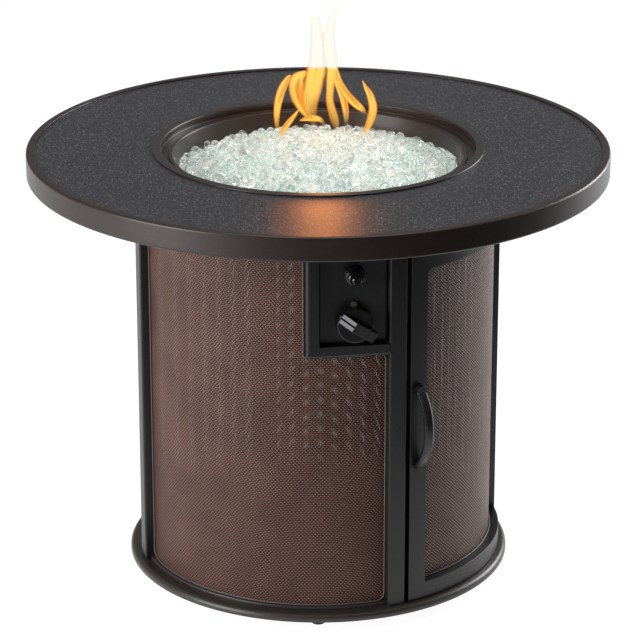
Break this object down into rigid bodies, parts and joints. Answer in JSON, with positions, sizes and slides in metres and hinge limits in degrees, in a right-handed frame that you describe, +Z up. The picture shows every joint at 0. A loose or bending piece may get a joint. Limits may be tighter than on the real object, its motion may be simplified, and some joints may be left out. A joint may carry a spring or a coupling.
{
  "type": "gas fire pit table",
  "caption": "Round gas fire pit table: metal top with a glass-filled burner bowl on a mesh-panelled drum base with a control bay and a hinged door.",
  "frame": {"origin": "on the ground, under the middle of the round table top, with the feet screwed in", "axes": "+Z up; the control panel faces -Y and the door is to its right, towards +X"},
  "size_m": [0.8128, 0.8128, 0.6223],
  "materials": {
    "rim_bronze": "satin dark bronze powder coat",
    "inlay_charcoal": "fine textured charcoal powder coat",
    "pan_bronze": "satin dark bronze powder coat",
    "frame_dark": "satin near-black powder coat",
    "frame_bronze": "satin dark bronze powder coat",
    "woven_mesh": "brown woven open mesh",
    "fire_glass": "tumbled clear glass with a faint green tint",
    "black_plastic": "gloss black",
    "mark_paint": "light grey pointer marks",
    "brass_fittings": "plain brass",
    "valve_alloy": "cast and drawn aluminium",
    "bare_steel": "plain stainless",
    "zinc_hardware": "zinc plated",
    "white_ceramic": "unglazed white",
    "catch_magnet": "matt black magnet case",
    "black_rubber": "black moulded pad"
  },
  "bodies": {
    "table": {"table_rim": "rim_bronze", "top_plate": "inlay_charcoal", "top_support_ring": "frame_dark", "top_support_arms": "frame_dark", "burner_pan": "pan_bronze", "bowl_trim": "pan_bronze", "burner_ring": "bare_steel", "burner_feed": "bare_steel", "burner_locknut": "bare_steel", "air_mixer": "brass_fittings", "heat_shield": "bare_steel", "shield_standoffs": "bare_steel", "igniter_electrode": "white_ceramic", "thermocouple": "bare_steel", "fire_glass": "fire_glass", "base_ring": "frame_bronze", "floor_plate": "frame_dark", "tank_seat": "frame_dark", "upper_ring": "frame_dark", "top_bolts": "zinc_hardware", "post_left": "frame_dark", "post_center": "frame_dark", "post_right": "frame_dark", "post_back": "frame_dark", "rail_front_lower": "frame_bronze", "rail_front_upper": "frame_dark", "rail_left_lower": "frame_bronze", "rail_left_upper": "frame_dark", "rail_rear_lower": "frame_bronze", "rail_rear_upper": "frame_dark", "mesh_left": "woven_mesh", "mesh_rear": "woven_mesh", "mesh_front": "woven_mesh", "control_frame": "frame_dark", "control_plate": "frame_dark", "gas_valve": "valve_alloy", "valve_screws": "brass_fittings", "gas_inlet": "brass_fittings", "gas_tube": "valve_alloy", "tube_nuts": "brass_fittings", "igniter_body": "black_plastic", "igniter_ring_nut": "black_plastic", "door_header": "frame_dark", "door_pivot_pins": "zinc_hardware", "magnet_catch": "catch_magnet", "foot_nuts": "zinc_hardware"},
    "door": {"door_frame": "frame_dark", "door_mesh": "woven_mesh", "door_handle": "frame_dark", "handle_screws": "zinc_hardware", "strike_plate": "zinc_hardware"},
    "control_push": {"stem_collar": "zinc_hardware"},
    "control_knob": {"valve_stem": "brass_fittings", "control_knob": "black_plastic", "knob_marks": "mark_paint"},
    "igniter_button": {"igniter_button": "black_plastic"},
    "foot_front": {"foot_front": "black_rubber"},
    "foot_right": {"foot_right": "black_rubber"},
    "foot_back": {"foot_back": "black_rubber"},
    "foot_left": {"foot_left": "black_rubber"}
  },
  "joints": [
    {"name": "door_hinge", "type": "hinge", "parent": "table", "child": "door", "pos_m": [0.24631, 0.05325, 0.275], "axis": [0, 0, 1], "range_deg": [0, 110]},
    {"name": "control_push", "type": "slide", "parent": "table", "child": "control_push", "axis": [-0.1573, 0.9876, 0], "range_m": [0, 0.003], "stiffness_N_per_m": 1000},
    {"name": "knob_turn", "type": "hinge", "parent": "control_push", "child": "control_knob", "pos_m": [0.0501, -0.25732, 0.4475], "axis": [0.1573, -0.9876, 0], "range_deg": [-57, 123]},
    {"name": "igniter_push", "type": "slide", "parent": "table", "child": "igniter_button", "axis": [-0.1573, 0.9876, 0], "range_m": [0, 0.004], "stiffness_N_per_m": 1200},
    {"name": "foot_front_height", "type": "slide", "parent": "table", "child": "foot_front", "axis": [0, 0, -1], "range_m": [0, 0.01]},
    {"name": "foot_right_height", "type": "slide", "parent": "table", "child": "foot_right", "axis": [0, 0, -1], "range_m": [0, 0.01]},
    {"name": "foot_back_height", "type": "slide", "parent": "table", "child": "foot_back", "axis": [0, 0, -1], "range_m": [0, 0.01]},
    {"name": "foot_left_height", "type": "slide", "parent": "table", "child": "foot_left", "axis": [0, 0, -1], "range_m": [0, 0.01]}
  ]
}
